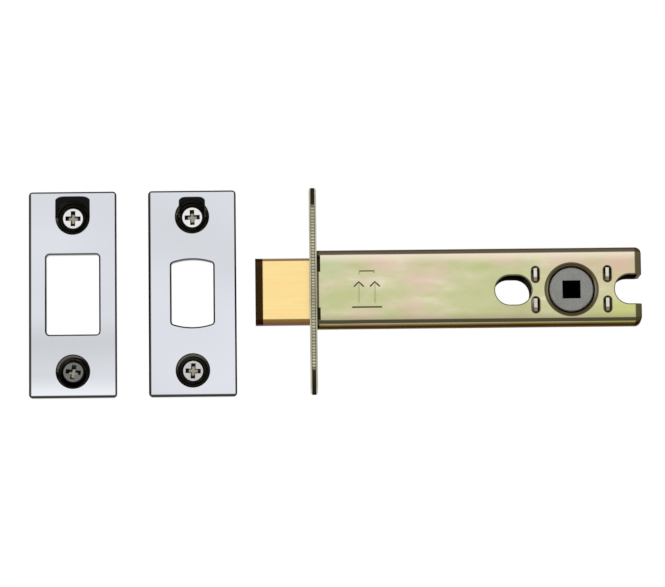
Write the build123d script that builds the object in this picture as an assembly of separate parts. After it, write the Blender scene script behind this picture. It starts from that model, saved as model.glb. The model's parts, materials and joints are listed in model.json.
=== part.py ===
"""Tubular bathroom deadbolt: bolt case with its forend, the cover plate and the strike plate.

Frame: the origin is the centre of the forend's front face. +X runs along the case into the
door, so the bolt is thrown towards -X. +Z is up and -Y is the near side. Millimetres.
The model stands with the bolt thrown. The two plates stand in front of the nose, turned to
show their faces to the near side, each with its two screws through it.
"""
import math
import os

from build123d import *

# Outline of the cover plate and the strike plate, which the forend stands back from
FACE_LENGTH = 60.0
FACE_WIDTH = 25.4
SCREW_INSET = 7.6

# Forend: the plate on the end of the case
FOREND_MARGIN = 0.8
FOREND_THICKNESS = 2.1
FOREND_CORNER = 5.5
FOREND_EDGE_BREAK = 0.45
FOREND_HOLE_RADIUS = 2.75

# Case: a flat-sided steel tube in two pressed halves, closed at the rear and set a little high
CASE_LIFT = 0.45
REAR_LENGTH = 20.15
CASE_WIDTH = 13.0
CASE_HEIGHT = 22.7
CASE_ARCH = 20.0
CASE_WALL = 1.0
CASE_BEND_INSIDE = 0.6
REAR_BEND = 1.6
TENON_HEIGHT = 10.3
TENON_DROP = 0.6
RELIEF_DEPTH = 1.0

# Hub: the follower that the spindle turns
BACKSET = 75.0
HUB_DROP = 1.25
HUB_TURN = 90.0
SPINDLE_SQUARE = 5.05
JOURNAL_RADIUS = 6.25
JOURNAL_CLEARANCE = 0.1
JOURNAL_RECESS = 0.35
JOURNAL_EDGE_BREAK = 0.25
COLLAR_BEND_INSIDE = 0.4
FLANGE_RADIUS = 7.3
FLANGE_THICKNESS = 0.9
FLANGE_CLEARANCE = 0.15
BARREL_RADIUS = 5.5
DETENT_FLAT = 4.6
LEVER_THICKNESS = 2.8
LEVER_ROOT_WIDTH = 4.0
LEVER_NECK_WIDTH = 1.2
LEVER_NECK_LENGTH = 3.9
LEVER_TIP_RADIUS = 1.3
LEVER_ROOF_CLEARANCE = 0.4

# Holes through the case for the bolts that hold the handle roses
ROSE_OFFSET = 16.65
ROSE_HOLE_LENGTH = 10.5
ROSE_HOLE_HEIGHT = 8.5

# Bridges: the two steel plates that hold the case halves together beside the hub
BRIDGE_OFFSET = 10.3
BRIDGE_THICKNESS = 1.2
BRIDGE_FOOT_WIDTH = 5.0
BRIDGE_FLOOR_CLEARANCE = 0.25
TAB_HEIGHT = 3.7
TAB_RECESS = 0.25
TAB_SLOT_LENGTH_ROOM = 0.85
TAB_SLOT_WIDTH_ROOM = 0.95

# Bolt: the brass block
BOLT_PROJECTION = 15.6
BOLT_INSIDE = 20.0
BOLT_ARCH = 18.0
BOLT_CORNER = 0.3
BOLT_SIDE_CLEARANCE = 0.2
BOLT_TOP_CLEARANCE = 0.7
BOLT_MOUTH_CLEARANCE = 0.15
NOSE_LENGTH = 2.25
NOSE_DEPTH = 3.0
NOSE_ROUND = 0.25

# Tail: the steel strip from the bolt back to the hub's lever
TAIL_THICKNESS = 1.5
TAIL_HEIGHT = 3.4
TAIL_GRIP = 12.0
TAIL_ROOF_CLEARANCE = 1.33
TAIL_BRIDGE_CLEARANCE = 0.65
TAIL_LEVER_CLEARANCE = 0.6
TAIL_END = 1.0
LUG_THICKNESS = 1.5
LUG_CLEARANCE = 0.45
LUG_OVERLAP = 0.2
RIVET_RADIUS = 1.1
RIVET_SPACING = 6.0
RIVET_END = 0.3

# Detent spring: a bowed leaf under the hub
SPRING_THICKNESS = 0.4
SPRING_WIDTH = 4.0
SPRING_END_CLEARANCE = 0.25
SPRING_SEAT = 0.05

# Cover plate and strike plate
PLATE_THICKNESS = 2.5
PLATE_CORNER = 1.1
PLATE_EDGE_BREAK = 0.45
COVER_MIDDLE_X = -33.9
COVER_APERTURE_WIDTH = 12.1
COVER_APERTURE_HEIGHT = 19.6
COVER_APERTURE_ARCH = 18.0
COVER_APERTURE_CORNER = 0.8
STRIKE_MIDDLE_X = -68.5
STRIKE_APERTURE_WIDTH = 15.2
STRIKE_APERTURE_HEIGHT = 23.2
STRIKE_APERTURE_CORNER = 0.9
COUNTERSINK_RADIUS = 5.0
PLATE_HOLE_RADIUS = 2.2

# Wood screws
SCREW_LENGTH = 19.0
SCREW_HEAD_RADIUS = 3.05
SCREW_SHANK_RADIUS = 1.75
SCREW_POINT_LENGTH = 5.0
SCREW_POINT_RADIUS = 0.15
SCREW_SEAT_GAP = 0.02
RECESS_SPAN = 4.4
RECESS_WIDTH = 1.15
RECESS_DEPTH = 1.1

# Worked out from the sizes above
SCREW_SPACING = FACE_LENGTH - 2 * SCREW_INSET
PLATE_SCREW_HEIGHTS = (CASE_LIFT - SCREW_SPACING / 2, CASE_LIFT + SCREW_SPACING / 2)
CASE_LENGTH = BACKSET + REAR_LENGTH
CASE_HALF_WIDTH = CASE_WIDTH / 2
CASE_INNER_HALF_WIDTH = CASE_HALF_WIDTH - CASE_WALL
CASE_INNER_HALF_HEIGHT = CASE_HEIGHT / 2 - CASE_WALL
HUB_Z = CASE_LIFT - HUB_DROP
HUB_TO_FLOOR = CASE_INNER_HALF_HEIGHT - HUB_DROP
TENON_Z = CASE_LIFT - TENON_DROP
LEVER_LENGTH = CASE_INNER_HALF_HEIGHT + HUB_DROP - LEVER_ROOF_CLEARANCE - LEVER_TIP_RADIUS
HALF_TURN = math.radians(HUB_TURN / 2)
BOLT_THROW = 2 * LEVER_LENGTH * math.sin(HALF_TURN)
BOLT_WIDTH = 2 * (CASE_INNER_HALF_WIDTH - BOLT_SIDE_CLEARANCE)
BOLT_HEIGHT = 2 * (CASE_INNER_HALF_HEIGHT - BOLT_TOP_CLEARANCE)
COLLAR_INNER_RADIUS = JOURNAL_RADIUS + JOURNAL_CLEARANCE
COLLAR_BEND = COLLAR_BEND_INSIDE + CASE_WALL
COLLAR_OUTER_RADIUS = COLLAR_INNER_RADIUS + COLLAR_BEND
TAIL_NEAR_Y = LEVER_THICKNESS / 2 + TAIL_LEVER_CLEARANCE
TAIL_BOTTOM_Z = CASE_LIFT + CASE_INNER_HALF_HEIGHT - TAIL_ROOF_CLEARANCE - TAIL_HEIGHT
BRIDGE_HALF_HEIGHT = TAIL_BOTTOM_Z - TAIL_BRIDGE_CLEARANCE - HUB_Z
TAB_OFFSET = BRIDGE_HALF_HEIGHT - TAB_HEIGHT / 2
TAIL_FRONT_X = BOLT_INSIDE - TAIL_GRIP
NOTCH_X = BACKSET - BOLT_THROW / 2
NOTCH_HALF_WIDTH = LEVER_TIP_RADIUS + LUG_CLEARANCE
TAIL_REAR_X = NOTCH_X + NOTCH_HALF_WIDTH + LUG_THICKNESS + TAIL_END
PLATE_BACK_Y = CASE_HALF_WIDTH
PLATE_FRONT_Y = PLATE_BACK_Y - PLATE_THICKNESS

HUB_PLANE = Plane(origin=(BACKSET, 0, HUB_Z), x_dir=(1, 0, 0), z_dir=(0, -1, 0))


def slab(x, y, z):
    """Box between the (low, high) limits given for each axis."""
    size = [high - low for low, high in (x, y, z)]
    middle = [(high + low) / 2 for low, high in (x, y, z)]
    return Pos(*middle) * Box(*size)


def arched_section(width, height, arch, corner):
    """Flat-sided section with an arched top and bottom, which the case and the bolt share."""
    lift = height / 2 - arch
    arches = (Pos(0, lift) * Circle(arch)) & (Pos(0, -lift) * Circle(arch))
    section = Rectangle(width, 2 * height) & arches
    return fillet(section.vertices(), corner)


def across(sketch, plane=HUB_PLANE):
    """Cutter that runs right across the case along Y."""
    return extrude(plane * sketch, CASE_WIDTH, both=True)


def case_form(inset):
    """The closed form of the case, moved in by inset on every side but the front."""
    section = arched_section(
        CASE_WIDTH - 2 * inset,
        CASE_HEIGHT - 2 * inset,
        CASE_ARCH - inset,
        CASE_BEND_INSIDE + CASE_WALL - inset,
    )
    length = CASE_LENGTH - FOREND_THICKNESS - inset
    return extrude(Plane.YZ.offset(FOREND_THICKNESS) * Pos(0, CASE_LIFT) * section, length)


def hub_collar(side):
    """The case wall rolled inwards round the hub on one side, -1 for the near side."""
    bend_y = CASE_HALF_WIDTH - COLLAR_BEND
    quadrant = Pos(-COLLAR_BEND / 2, COLLAR_BEND / 2) * Rectangle(COLLAR_BEND, COLLAR_BEND)
    hollow = Polygon((0, 0), (0, COLLAR_BEND_INSIDE), (-COLLAR_BEND_INSIDE, 0), align=None)
    profile = (Circle(COLLAR_BEND) & quadrant) - hollow
    collar = revolve(Pos(COLLAR_OUTER_RADIUS, bend_y) * profile, Axis.Y)
    if side < 0:
        collar = mirror(collar, Plane.XZ)
    return Pos(BACKSET, 0, HUB_Z) * collar


def case():
    """Both halves of the case as one shell, before they are parted."""
    outside = case_form(0)
    rear_edges = outside.faces().sort_by(Axis.X)[-1].edges()
    shell = fillet(rear_edges, REAR_BEND) - case_form(CASE_WALL)
    for side in (-1, 1):
        wall_y = sorted((side * CASE_INNER_HALF_WIDTH, side * CASE_HALF_WIDTH))
        flat_end = CASE_HEIGHT / 2 - 2 * CASE_WALL
        front_x = (0, FOREND_THICKNESS + RELIEF_DEPTH)
        relief = slab(front_x, wall_y, (CASE_LIFT - flat_end, CASE_LIFT + flat_end))
        tenon = slab(front_x, wall_y, (TENON_Z - TENON_HEIGHT / 2, TENON_Z + TENON_HEIGHT / 2))
        shell = shell - relief + tenon
    shell -= across(Circle(COLLAR_OUTER_RADIUS))
    shell += hub_collar(-1) + hub_collar(1)
    shell -= across(Pos(-ROSE_OFFSET, 0) * SlotOverall(ROSE_HOLE_LENGTH, ROSE_HOLE_HEIGHT))
    run_out = CASE_LENGTH - BACKSET
    notch = Pos(ROSE_OFFSET, 0) * Circle(ROSE_HOLE_HEIGHT / 2)
    notch += Pos(ROSE_OFFSET + run_out / 2, 0) * Rectangle(run_out, ROSE_HOLE_HEIGHT)
    shell -= across(notch)
    slot = SlotOverall(TAB_HEIGHT + TAB_SLOT_LENGTH_ROOM, BRIDGE_THICKNESS + TAB_SLOT_WIDTH_ROOM, 90)
    for x in (-BRIDGE_OFFSET, BRIDGE_OFFSET):
        for z in (-TAB_OFFSET, TAB_OFFSET):
            shell -= across(Pos(x, z) * slot)
    return shell


def forend():
    """Plate that the case's tenons are fixed into, with the mouth for the bolt."""
    stand_back = 2 * FOREND_MARGIN
    outline = RectangleRounded(FACE_WIDTH - stand_back, FACE_LENGTH - stand_back, FOREND_CORNER)
    plate = extrude(Plane.YZ * outline, FOREND_THICKNESS)
    for end in (0, -1):
        rim = plate.faces().sort_by(Axis.X)[end].edges()
        plate = chamfer(rim, FOREND_EDGE_BREAK)
    room = 2 * BOLT_MOUTH_CLEARANCE
    mouth = arched_section(BOLT_WIDTH + room, BOLT_HEIGHT + room, BOLT_ARCH, BOLT_CORNER)
    mouth += Pos(0, TENON_Z) * Rectangle(CASE_WIDTH, TENON_HEIGHT)
    for z in (-SCREW_SPACING / 2, SCREW_SPACING / 2):
        mouth += Pos(0, z) * Circle(FOREND_HOLE_RADIUS)
    return plate - extrude(Plane.YZ * mouth, FOREND_THICKNESS)


def rivet_places():
    """Points, in the X-Z plane, where the tail is riveted into the bolt."""
    middle_x = TAIL_FRONT_X + TAIL_GRIP / 2
    z = TAIL_BOTTOM_Z + TAIL_HEIGHT / 2
    return [(middle_x - RIVET_SPACING / 2, z), (middle_x + RIVET_SPACING / 2, z)]


def bolt():
    """Brass bolt with a bevelled nose and a slot behind for the tail."""
    section = arched_section(BOLT_WIDTH, BOLT_HEIGHT, BOLT_ARCH, BOLT_CORNER)
    length = BOLT_PROJECTION + BOLT_INSIDE
    block = extrude(Plane.YZ.offset(-BOLT_PROJECTION) * section, length)
    half = BOLT_WIDTH / 2
    nose_x = -BOLT_PROJECTION
    plan = Polygon(
        (nose_x, -half + NOSE_DEPTH),
        (nose_x + NOSE_LENGTH, -half),
        (BOLT_INSIDE, -half),
        (BOLT_INSIDE, half),
        (nose_x + NOSE_LENGTH, half),
        (nose_x, half - NOSE_DEPTH),
        align=None,
    )
    plan = fillet(plan.vertices().sort_by(Axis.X)[:2], NOSE_ROUND)
    block &= extrude(plan, BOLT_HEIGHT, both=True)
    block -= slab(
        (TAIL_FRONT_X, BOLT_INSIDE),
        (TAIL_NEAR_Y, TAIL_NEAR_Y + TAIL_THICKNESS),
        (TAIL_BOTTOM_Z, BOLT_HEIGHT),
    )
    for x, z in rivet_places():
        block -= across(Pos(x, z) * Circle(RIVET_RADIUS), Plane.XZ)
    return block


def bolt_tail():
    """Steel strip along the case roof, with two lugs that the hub's lever works between."""
    z = (TAIL_BOTTOM_Z, TAIL_BOTTOM_Z + TAIL_HEIGHT)
    strip_y = (TAIL_NEAR_Y, TAIL_NEAR_Y + TAIL_THICKNESS)
    strip = slab((TAIL_FRONT_X, TAIL_REAR_X), strip_y, z)
    lug_y = (-LEVER_THICKNESS / 2 - LUG_OVERLAP, strip_y[1])
    for x in (NOTCH_X - NOTCH_HALF_WIDTH - LUG_THICKNESS, NOTCH_X + NOTCH_HALF_WIDTH):
        strip += slab((x, x + LUG_THICKNESS), lug_y, z)
    for x, rivet_z in rivet_places():
        strip -= across(Pos(x, rivet_z) * Circle(RIVET_RADIUS), Plane.XZ)
    return strip


def tail_rivets():
    """The two rivets across the bolt and its tail."""
    reach = BOLT_WIDTH / 2 - RIVET_END
    return [
        extrude(Plane.XZ * Pos(x, z) * Circle(RIVET_RADIUS), reach, both=True)
        for x, z in rivet_places()
    ]


def hub():
    """Follower with journals, flanges, a detent barrel and the lever that drives the tail."""
    journal_end = CASE_HALF_WIDTH - JOURNAL_RECESS
    flange_end = CASE_HALF_WIDTH - COLLAR_BEND - FLANGE_CLEARANCE
    journal = extrude(HUB_PLANE * Circle(JOURNAL_RADIUS), journal_end, both=True)
    rims = journal.edges().filter_by(GeomType.CIRCLE)
    body = chamfer(rims, JOURNAL_EDGE_BREAK)
    barrel = Circle(BARREL_RADIUS)
    for angle in (0, HUB_TURN):
        barrel -= Rot(0, 0, angle) * Pos(0, -DETENT_FLAT - BARREL_RADIUS) * Rectangle(
            2 * BARREL_RADIUS, 2 * BARREL_RADIUS
        )
    groove = Circle(2 * FLANGE_RADIUS) - barrel
    body -= extrude(HUB_PLANE * groove, flange_end, both=True)
    flange = extrude(HUB_PLANE * Circle(FLANGE_RADIUS), flange_end, both=True)
    flange -= extrude(HUB_PLANE * Circle(FLANGE_RADIUS), flange_end - FLANGE_THICKNESS, both=True)
    neck_start = LEVER_LENGTH - LEVER_NECK_LENGTH
    lever = Polygon(
        (-LEVER_ROOT_WIDTH / 2, 0),
        (LEVER_ROOT_WIDTH / 2, 0),
        (LEVER_NECK_WIDTH / 2, neck_start),
        (LEVER_NECK_WIDTH / 2, LEVER_LENGTH),
        (-LEVER_NECK_WIDTH / 2, LEVER_LENGTH),
        (-LEVER_NECK_WIDTH / 2, neck_start),
        align=None,
    )
    lever += Pos(0, LEVER_LENGTH) * Circle(LEVER_TIP_RADIUS)
    lever = Rot(0, 0, HUB_TURN / 2) * lever
    body += flange + extrude(HUB_PLANE * lever, LEVER_THICKNESS / 2, both=True)
    return body - across(Rectangle(SPINDLE_SQUARE, SPINDLE_SQUARE))


def bridge(x):
    """Plate across the case beside the hub, with tabs into both walls and a foot."""
    half = CASE_INNER_HALF_WIDTH
    profile = Rectangle(2 * half, 2 * BRIDGE_HALF_HEIGHT)
    tab_end = CASE_HALF_WIDTH - TAB_RECESS
    for z in (-TAB_OFFSET, TAB_OFFSET):
        profile += Pos(0, z) * Rectangle(2 * tab_end, TAB_HEIGHT)
    foot = HUB_TO_FLOOR - BRIDGE_FLOOR_CLEARANCE
    profile += Pos(0, -foot / 2) * Rectangle(BRIDGE_FOOT_WIDTH, foot)
    plane = Plane(origin=(x, 0, HUB_Z), x_dir=(0, 1, 0), z_dir=(1, 0, 0))
    return extrude(plane * profile, BRIDGE_THICKNESS / 2, both=True)


def detent_spring():
    """Bowed leaf between the case floor and the hub's lower flat."""
    end_x = BRIDGE_OFFSET - BRIDGE_THICKNESS / 2 - SPRING_END_CLEARANCE
    top = -DETENT_FLAT - SPRING_SEAT
    rise = (SPRING_WIDTH / 2) ** 2 / (2 * (CASE_ARCH - CASE_WALL))
    floor = -HUB_TO_FLOOR + rise + SPRING_SEAT
    upper = ThreePointArc((-end_x, floor + SPRING_THICKNESS), (0, top), (end_x, floor + SPRING_THICKNESS))
    lower = ThreePointArc((-end_x, floor), (0, top - SPRING_THICKNESS), (end_x, floor))
    ends = [Line(upper @ i, lower @ i) for i in (0, 1)]
    leaf = make_face([upper, ends[0], lower, ends[1]])
    return extrude(HUB_PLANE * leaf, SPRING_WIDTH / 2, both=True)


def plate(middle_x, aperture):
    """Flat plate facing the near side, with an aperture and two countersunk holes."""
    face = Plane(origin=(middle_x, PLATE_FRONT_Y, CASE_LIFT), x_dir=(1, 0, 0), z_dir=(0, -1, 0))
    outline = RectangleRounded(FACE_WIDTH, FACE_LENGTH, PLATE_CORNER)
    body = extrude(face * (outline - aperture), -PLATE_THICKNESS)
    rim = body.faces().sort_by(Axis.Y)[0].edges()
    body = chamfer(rim, PLATE_EDGE_BREAK)
    for z in PLATE_SCREW_HEIGHTS:
        body -= screw_form(middle_x, z, COUNTERSINK_RADIUS, PLATE_HOLE_RADIUS, PLATE_FRONT_Y, PLATE_THICKNESS)
    return body


def screw_form(x, z, head_radius, shank_radius, head_y, length):
    """Countersunk head running into a plain shank along +Y, from its flat top at head_y."""
    profile = Polygon(
        (0, 0),
        (head_radius, 0),
        (shank_radius, head_radius - shank_radius),
        (shank_radius, max(length, head_radius - shank_radius)),
        (0, max(length, head_radius - shank_radius)),
        align=None,
    )
    return Pos(x, head_y, z) * revolve(profile, Axis.Y)


def wood_screw(x, z):
    """Countersunk wood screw with a cross recess and a plain shank down to its point."""
    head_y = PLATE_FRONT_Y + COUNTERSINK_RADIUS - SCREW_HEAD_RADIUS - SCREW_SEAT_GAP
    shank_length = SCREW_LENGTH - SCREW_POINT_LENGTH
    screw = screw_form(x, z, SCREW_HEAD_RADIUS, SCREW_SHANK_RADIUS, head_y, shank_length)
    point = Cone(SCREW_SHANK_RADIUS, SCREW_POINT_RADIUS, SCREW_POINT_LENGTH)
    point_middle_y = head_y + shank_length + SCREW_POINT_LENGTH / 2
    screw += Pos(x, point_middle_y, z) * Rot(-90, 0, 0) * point
    cross = Rectangle(RECESS_SPAN, RECESS_WIDTH) + Rectangle(RECESS_WIDTH, RECESS_SPAN)
    top = Plane(origin=(x, head_y, z), x_dir=(1, 0, 0), z_dir=(0, 1, 0))
    return screw - extrude(top * cross, RECESS_DEPTH, taper=20)


def plate_screws(middle_x):
    """The two screws of one plate."""
    return [wood_screw(middle_x, z) for z in PLATE_SCREW_HEIGHTS]


def build():
    """Every piece by name. A list is a group of like pieces."""
    whole_case = case()
    cover_aperture = arched_section(
        COVER_APERTURE_WIDTH, COVER_APERTURE_HEIGHT, COVER_APERTURE_ARCH, COVER_APERTURE_CORNER
    )
    strike_aperture = RectangleRounded(
        STRIKE_APERTURE_WIDTH, STRIKE_APERTURE_HEIGHT, STRIKE_APERTURE_CORNER
    )
    return {
        "forend": forend(),
        "case_near_half": split(whole_case, Plane.XZ, keep=Keep.TOP),
        "case_far_half": split(whole_case, Plane.XZ, keep=Keep.BOTTOM),
        "bolt": bolt(),
        "bolt_tail": bolt_tail(),
        "tail_rivets": tail_rivets(),
        "hub": hub(),
        "front_bridge": bridge(BACKSET - BRIDGE_OFFSET),
        "rear_bridge": bridge(BACKSET + BRIDGE_OFFSET),
        "detent_spring": detent_spring(),
        "cover_plate": plate(COVER_MIDDLE_X, cover_aperture),
        "cover_screws": plate_screws(COVER_MIDDLE_X),
        "strike_plate": plate(STRIKE_MIDDLE_X, strike_aperture),
        "strike_screws": plate_screws(STRIKE_MIDDLE_X),
    }


def main():
    os.makedirs("parts", exist_ok=True)
    for name, piece in build().items():
        shape = Compound(children=piece) if isinstance(piece, list) else piece
        export_step(shape, os.path.join("parts", name + ".step"))
    print(f"throw {BOLT_THROW:.3f} mm, lever {LEVER_LENGTH:.3f} mm")


main()
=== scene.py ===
"""Looks of the tubular bathroom deadbolt: finishes, screws, stamped mark, studio and camera."""
import json
import math

import bmesh
import bpy
from mathutils import Matrix, Vector


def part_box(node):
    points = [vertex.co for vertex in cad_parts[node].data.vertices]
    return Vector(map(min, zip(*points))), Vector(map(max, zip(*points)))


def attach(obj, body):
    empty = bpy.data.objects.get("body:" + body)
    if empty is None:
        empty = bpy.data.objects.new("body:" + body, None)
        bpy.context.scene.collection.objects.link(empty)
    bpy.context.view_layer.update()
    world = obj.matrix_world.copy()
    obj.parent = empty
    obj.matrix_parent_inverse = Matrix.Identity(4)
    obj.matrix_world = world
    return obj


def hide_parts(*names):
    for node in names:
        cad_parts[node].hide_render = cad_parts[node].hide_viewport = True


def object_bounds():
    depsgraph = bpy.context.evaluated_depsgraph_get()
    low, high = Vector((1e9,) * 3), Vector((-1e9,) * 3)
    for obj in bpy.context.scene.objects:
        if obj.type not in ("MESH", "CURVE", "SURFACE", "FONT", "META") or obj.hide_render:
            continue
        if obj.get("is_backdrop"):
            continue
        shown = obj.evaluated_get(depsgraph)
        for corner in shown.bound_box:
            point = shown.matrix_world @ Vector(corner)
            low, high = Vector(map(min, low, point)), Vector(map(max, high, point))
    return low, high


MM = 0.001
CASE_BODY = "lock_case"

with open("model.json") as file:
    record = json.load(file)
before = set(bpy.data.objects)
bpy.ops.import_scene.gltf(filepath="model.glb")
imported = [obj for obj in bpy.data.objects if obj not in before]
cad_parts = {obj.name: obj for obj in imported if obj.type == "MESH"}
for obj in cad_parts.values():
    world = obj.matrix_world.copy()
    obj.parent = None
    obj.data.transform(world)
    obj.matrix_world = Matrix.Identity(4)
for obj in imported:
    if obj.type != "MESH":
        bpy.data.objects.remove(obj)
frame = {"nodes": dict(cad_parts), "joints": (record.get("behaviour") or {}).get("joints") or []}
cad_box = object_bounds()
NODES = frame["nodes"]
HUB = Vector(next(joint["pos_m"] for joint in frame["joints"] if joint["name"] == "hub_turn")) / MM


def box_mm(node):
    """Low and high corner of a CAD node's box, in millimetres."""
    return [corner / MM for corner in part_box(node)]


# Node building blocks. A noise keeps mostly between its two limits, and a wave texture turns
# through WAVE_RATE radians in one unit of its scale.
PER_MM = (1000, 1000, 1000)
NOISE_LOW = 0.3
NOISE_HIGH = 0.7
WAVE_RATE = 20


class Nodes:
    """Short way to add nodes to a tree and to link them."""

    def __init__(self, tree):
        self.tree = tree

    def add(self, kind, inputs=None, **settings):
        """New node with its settings, and with its inputs by name or number."""
        node = self.tree.nodes.new(kind)
        for key, value in settings.items():
            setattr(node, key, value)
        for key, value in (inputs or {}).items():
            self.feed(node.inputs[key], value)
        return node

    def feed(self, socket, value):
        """Links a socket to another one, or sets its own value."""
        if isinstance(value, bpy.types.NodeSocket):
            self.tree.links.new(value, socket)
        else:
            socket.default_value = value

    def math(self, operation, *values):
        return self.add("ShaderNodeMath", dict(enumerate(values)), operation=operation).outputs["Value"]

    def times(self, product, *values):
        """Product of two or more values."""
        for value in values:
            product = self.math("MULTIPLY", product, value)
        return product

    def between(self, value, start, end, low=0.0, high=1.0):
        """Smooth step from low at start to high at end."""
        inputs = {"Value": value, "From Min": start, "From Max": end, "To Min": low, "To Max": high}
        return self.add("ShaderNodeMapRange", inputs, interpolation_type="SMOOTHSTEP").outputs["Result"]

    def coordinates(self, scale):
        """Object coordinates, each axis stretched by its own scale."""
        plain = self.add("ShaderNodeTexCoord").outputs["Object"]
        return self.add("ShaderNodeMapping", {"Vector": plain, "Scale": scale}).outputs["Vector"]

    def place(self):
        """Object coordinates in millimetres, as x, y and z."""
        parts = self.add("ShaderNodeSeparateXYZ", {"Vector": self.coordinates(PER_MM)})
        return [parts.outputs[axis] for axis in "XYZ"]

    def tilt(self, axis):
        """How squarely the surface faces along an axis, less than 0 where it faces the other way."""
        normal = self.add("ShaderNodeNewGeometry").outputs["Normal"]
        return self.add("ShaderNodeSeparateXYZ", {"Vector": normal}).outputs[axis]

    def facing(self, axis):
        """How squarely the surface faces along an axis, either way."""
        return self.math("ABSOLUTE", self.tilt(axis))

    def away(self, value, middle, half=0.0):
        """Distance of a value from a middle, or from the end of a stretch about it."""
        distance = self.math("ABSOLUTE", self.math("SUBTRACT", value, middle))
        return self.math("MAXIMUM", self.math("SUBTRACT", distance, half), 0.0)

    def from_line(self, x, z, middle, half_x=0.0, half_z=0.0):
        """Distance in the X-Z plane from a point or from a straight stretch about it."""
        squares = []
        for value, place, half in ((x, middle[0], half_x), (z, middle[1], half_z)):
            distance = self.away(value, place, half)
            squares.append(self.times(distance, distance))
        return self.math("SQRT", self.math("ADD", *squares))

    def noise(self, grain, detail=3.0, roughness=0.55):
        """Noise with its own number of features per metre along each axis."""
        inputs = {"Vector": self.coordinates(grain), "Scale": 1.0, "Detail": detail, "Roughness": roughness}
        return self.add("ShaderNodeTexNoise", inputs).outputs["Fac"]

    def bands(self, axis, period):
        """Uneven bands across an axis, a given number of millimetres apart."""
        inputs = {
            "Vector": self.coordinates(PER_MM),
            "Scale": math.tau / (WAVE_RATE * period),
            "Distortion": 2.5,
            "Detail Scale": 0.6,
        }
        return self.add("ShaderNodeTexWave", inputs, wave_type="BANDS", bands_direction=axis).outputs["Fac"]

    def ramp(self, value, stops):
        """Colour ramp: stops are (place, linear colour)."""
        node = self.add("ShaderNodeValToRGB", {"Fac": value})
        elements = node.color_ramp.elements
        while len(elements) < len(stops):
            elements.new(0.5)
        for element, (place, colour) in zip(elements, stops):
            element.position = place
            element.color = (*colour, 1.0)
        return node.outputs["Color"]

    def tones(self, noise, dark, light):
        """Colour that follows a noise from dark to light."""
        return self.ramp(noise, [(NOISE_LOW, dark), (NOISE_HIGH, light)])

    def blend(self, factor, first, second):
        """Colour between two colours."""
        node = self.add("ShaderNodeMix", data_type="RGBA")
        self.feed(node.inputs[0], factor)
        for socket, colour in ((node.inputs[6], first), (node.inputs[7], second)):
            self.feed(socket, colour if isinstance(colour, bpy.types.NodeSocket) else (*colour, 1.0))
        return node.outputs[2]

    def layers(self, base, *coats):
        """Base colour under coats, each given as its share and its colour."""
        for share, colour in coats:
            base = self.blend(share, base, colour)
        return base


class Finish(Nodes):
    """Material with a Principled shader, ready for its colour, gloss and relief."""

    def __init__(self, name, metallic=1.0):
        self.material = bpy.data.materials.new(name)
        self.material.use_nodes = True
        super().__init__(self.material.node_tree)
        self.shader = self.tree.nodes["Principled BSDF"]
        self.set("Metallic", metallic)

    def set(self, name, value):
        """Sets or links one of the shader's inputs."""
        self.feed(self.shader.inputs[name], value)

    def colour(self, value):
        self.set("Base Color", value)

    def gloss(self, noise, smooth, rough):
        """Roughness that follows a noise between two values."""
        self.set("Roughness", self.between(noise, NOISE_LOW, NOISE_HIGH, smooth, rough))

    def relief(self, height, depth):
        """Bump of the given depth in millimetres."""
        node = self.add("ShaderNodeBump", {"Height": height, "Strength": 1.0, "Distance": depth * MM})
        self.set("Normal", node.outputs["Normal"])

    def surface(self, shader):
        """Sends another shader to the material's output."""
        self.feed(self.tree.nodes["Material Output"].inputs["Surface"], shader)


# Width in millimetres over which most painted lines fade
SOFT = 0.15


# Polished plates, in millimetres. The painted reflection, a dimmer band above a brighter foot, is measured up
# from a plate's foot.
# The rim is painted shade; its shift widens it on the left and at the foot, which take less light
RIM_WIDTH = 0.7
RIM_SHIFT = 0.12
RIM_FADE = 0.2
SINK_RADIUS = 5.0
SINK_MARGIN = 0.1
SINK_RING_PERIOD = 0.85
PRESSED_SLOPE = 0.12
PRESSED_CORNER_POWER = 6.0
PRESSED_FADE = 0.1
PRESSED_SHADE_DEPTH = 0.3
DIP_HEIGHT = 16
DIP_REACH = 9.0
GLOW_REACH = 7

# How squarely a face of a plate must look along Y: limits of each shade, and of the front
SINK_SLOPE_FACING = (0.8, 0.97)
PLATE_WALL_FACING = (0.75, 0.92)
PLATE_FRONT_TILT = -0.5


def painted_plate_reflection(finish, z, foot, painted_reflection_share):
    """Shares of the painted reflection on a plate: a dimmer band, and a brighter foot that is a painted
    highlight.
    """
    painted_dim_band = finish.between(finish.away(z, foot + DIP_HEIGHT), 0.0, DIP_REACH, 0.7 * painted_reflection_share, 0.0)
    glow = finish.between(z, foot, foot + GLOW_REACH, painted_reflection_share, 0.0)
    return painted_dim_band, glow


def painted_rim_shade(finish, x, z, low, high):
    """Share of the painted shade along a plate's outer edges, wider on the left and at the foot, which take
    less light.
    """
    middle = (low + high) / 2
    reach = (high - low) / 2
    to_side = finish.away(x, middle.x + RIM_SHIFT, reach.x - RIM_WIDTH)
    to_end = finish.away(z, middle.z + RIM_SHIFT, reach.z - RIM_WIDTH)
    return finish.between(finish.math("MAXIMUM", to_side, to_end), 0.0, RIM_FADE, 0.0, 0.93)


def countersink_painted_shade(finish, from_screw):
    """Share and colour of the painted shade on the slopes of the countersinks, dark with lighter rings."""
    in_sink = finish.math("LESS_THAN", from_screw, SINK_RADIUS + SINK_MARGIN)
    sloping = finish.between(finish.facing("Y"), *SINK_SLOPE_FACING, 1.0, 0.0)
    rings = finish.math("SINE", finish.times(from_screw, math.tau / SINK_RING_PERIOD))
    stops = [(0.2, (0.035, 0.033, 0.027)), (0.9, (0.12, 0.11, 0.09))]
    return finish.times(in_sink, sloping), finish.ramp(finish.between(rings, -1.0, 1.0), stops)


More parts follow.
